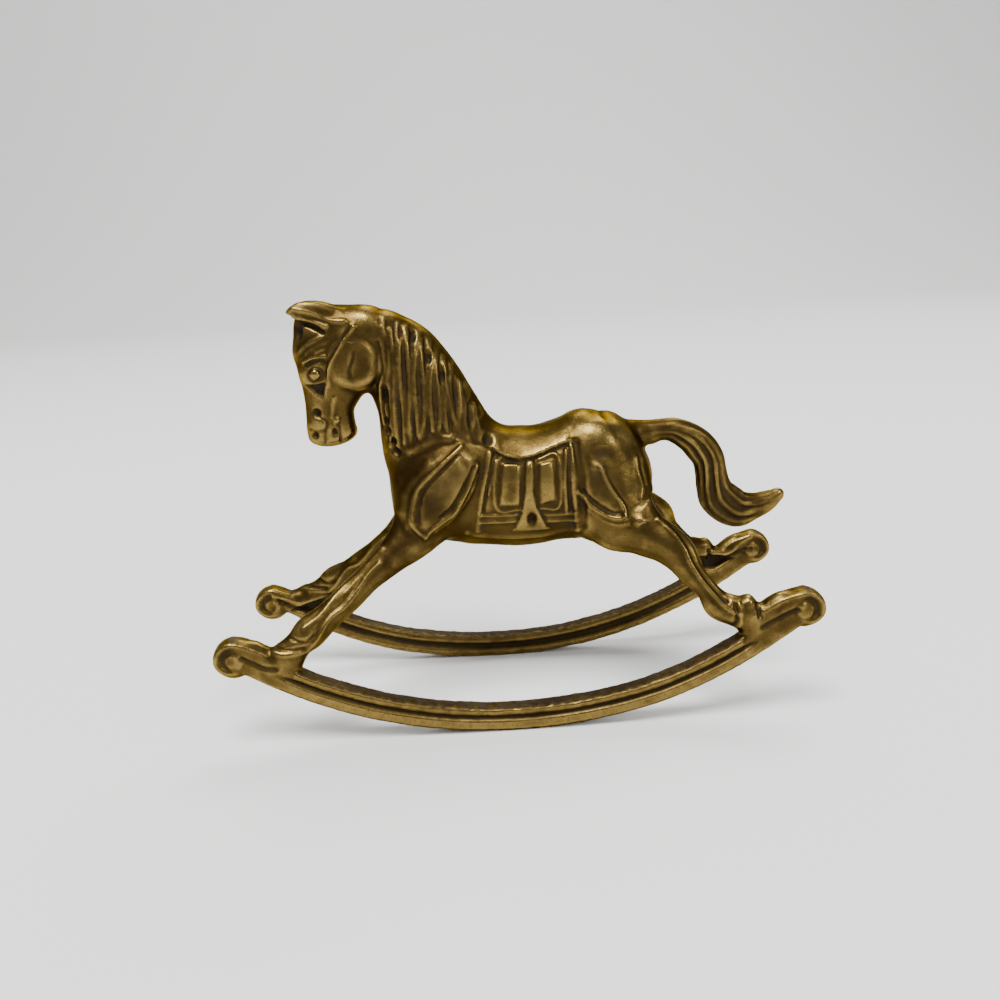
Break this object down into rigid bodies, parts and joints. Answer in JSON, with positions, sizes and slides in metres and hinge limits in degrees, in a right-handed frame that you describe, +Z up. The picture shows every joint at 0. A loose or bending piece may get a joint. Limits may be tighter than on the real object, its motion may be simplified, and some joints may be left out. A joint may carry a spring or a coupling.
{
  "type": "brass rocking horse figurine",
  "caption": "Cast brass figurine of a saddled horse whose splayed legs stand on two curved rockers with scrolled ends.",
  "frame": {"origin": "middle of the outer box, on the surface that the rockers stand on", "axes": "-X the way the horse faces, +Y its left-hand side, +Z up, at the lean at which it stops rocking"},
  "size_m": [0.127, 0.0472, 0.0891],
  "materials": {
    "aged_brass": "cast brass, worn bright on the high spots, brown to black patina in the hollows"
  },
  "bodies": {
    "root": {"rocking_horse": "aged_brass"}
  },
  "joints": []
}
